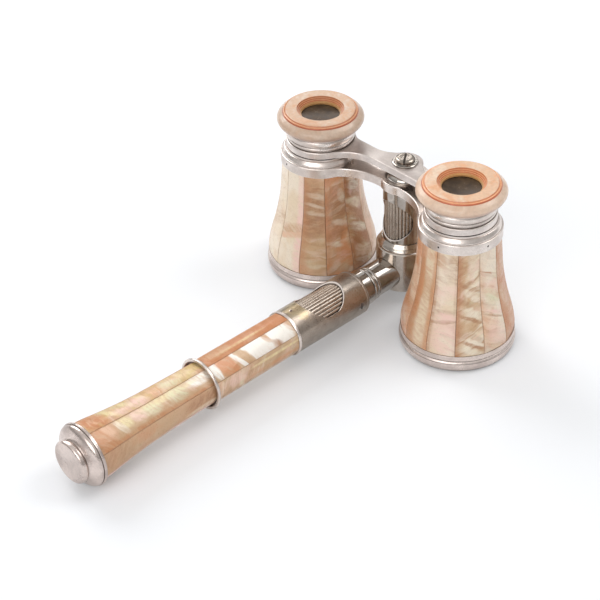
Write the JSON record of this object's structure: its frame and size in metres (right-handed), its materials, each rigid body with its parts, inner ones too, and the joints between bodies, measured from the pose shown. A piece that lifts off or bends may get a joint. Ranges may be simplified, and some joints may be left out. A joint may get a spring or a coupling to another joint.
{
  "type": "opera glasses with telescoping handle",
  "caption": "Pair of short flared opera-glass barrels clad in pearl strips, joined by bridges and a central focusing post, with a telescoping pearl grip handle.",
  "frame": {"origin": "on the table, under the middle of the whole object's footprint, standing on its objective rims with the handle's end cap on the table", "axes": "+Z along the optical axes towards the eyes, +X to the user's right, -Y down the handle"},
  "size_m": [0.0998, 0.1534, 0.0602],
  "materials": {
    "pearl": "glossy mother-of-pearl strips",
    "eyecup_pearl": "turned mother-of-pearl, satin gloss",
    "satin_silver": "satin plated",
    "dark_nickel": "worn polished nickel plate",
    "satin_nickel": "worn satin nickel plate",
    "brass": "plain turned",
    "lens_glass": "polished"
  },
  "bodies": {
    "glasses": {"objective_rim_left": "satin_silver", "objective_rim_right": "satin_silver", "barrel_shell_left": "brass", "barrel_shell_right": "brass", "objective_lens_left": "lens_glass", "objective_lens_right": "lens_glass", "objective_retainer_left": "brass", "objective_retainer_right": "brass", "pearl_left": "pearl", "pearl_right": "pearl", "tube_guide_left": "satin_silver", "tube_guide_right": "satin_silver", "lower_bridge": "satin_silver", "rod_guide": "brass", "post_cap": "dark_nickel", "drum_bush": "brass", "post_housing": "dark_nickel", "post_pin": "dark_nickel", "hub": "dark_nickel", "hub_plug": "dark_nickel", "neck": "dark_nickel", "neck_collar": "dark_nickel", "ferrule": "satin_nickel", "set_screw": "dark_nickel", "ferrule_pin": "dark_nickel", "neck_bush": "brass", "ferrule_bush": "brass", "grip_joint": "satin_silver", "upper_tube": "brass", "upper_pearl": "pearl", "mouth_ring": "satin_silver"},
    "eyepieces": {"draw_tube_left": "dark_nickel", "draw_tube_right": "dark_nickel", "ocular_ring_left": "satin_silver", "ocular_ring_right": "satin_silver", "eyecup_left": "eyecup_pearl", "eyecup_right": "eyecup_pearl", "ocular_lens_left": "lens_glass", "ocular_lens_right": "lens_glass", "lens_ring_left": "brass", "lens_ring_right": "brass", "upper_bridge": "satin_silver", "bridge_screw": "dark_nickel", "bridge_washer": "dark_nickel", "focus_rod": "dark_nickel"},
    "post_drum": {"focus_drum": "satin_nickel", "crown_gear": "brass"},
    "finger_drum": {"handle_drum": "satin_nickel", "drive_shaft": "brass", "pinion_gear": "brass"},
    "lower_grip": {"extension_tube": "dark_nickel", "lower_core": "brass", "lower_pearl": "pearl", "end_cap": "satin_silver", "cap_button": "satin_silver"}
  },
  "joints": [
    {"name": "focus_slide", "type": "slide", "parent": "glasses", "child": "eyepieces", "axis": [0, 0, 1], "range_m": [0, 0.009]},
    {"name": "post_drum_turn", "type": "hinge", "parent": "glasses", "child": "post_drum", "pos_m": [0, 0.06532, 0.03], "axis": [0, 0, 1], "range_deg": [0, 270]},
    {"name": "finger_drum_turn", "type": "hinge", "parent": "glasses", "child": "finger_drum", "pos_m": [0, 0.02602, 0.0104], "axis": [0, 1, 0], "range_deg": [0, 270]},
    {"name": "handle_telescope", "type": "slide", "parent": "glasses", "child": "lower_grip", "axis": [0, -1, 0], "range_m": [0, 0.026]}
  ],
  "couplings": [
    {"joint": "post_drum_turn", "follows": "focus_slide", "rad_per_m": 523.59},
    {"joint": "finger_drum_turn", "follows": "focus_slide", "rad_per_m": 523.59}
  ]
}
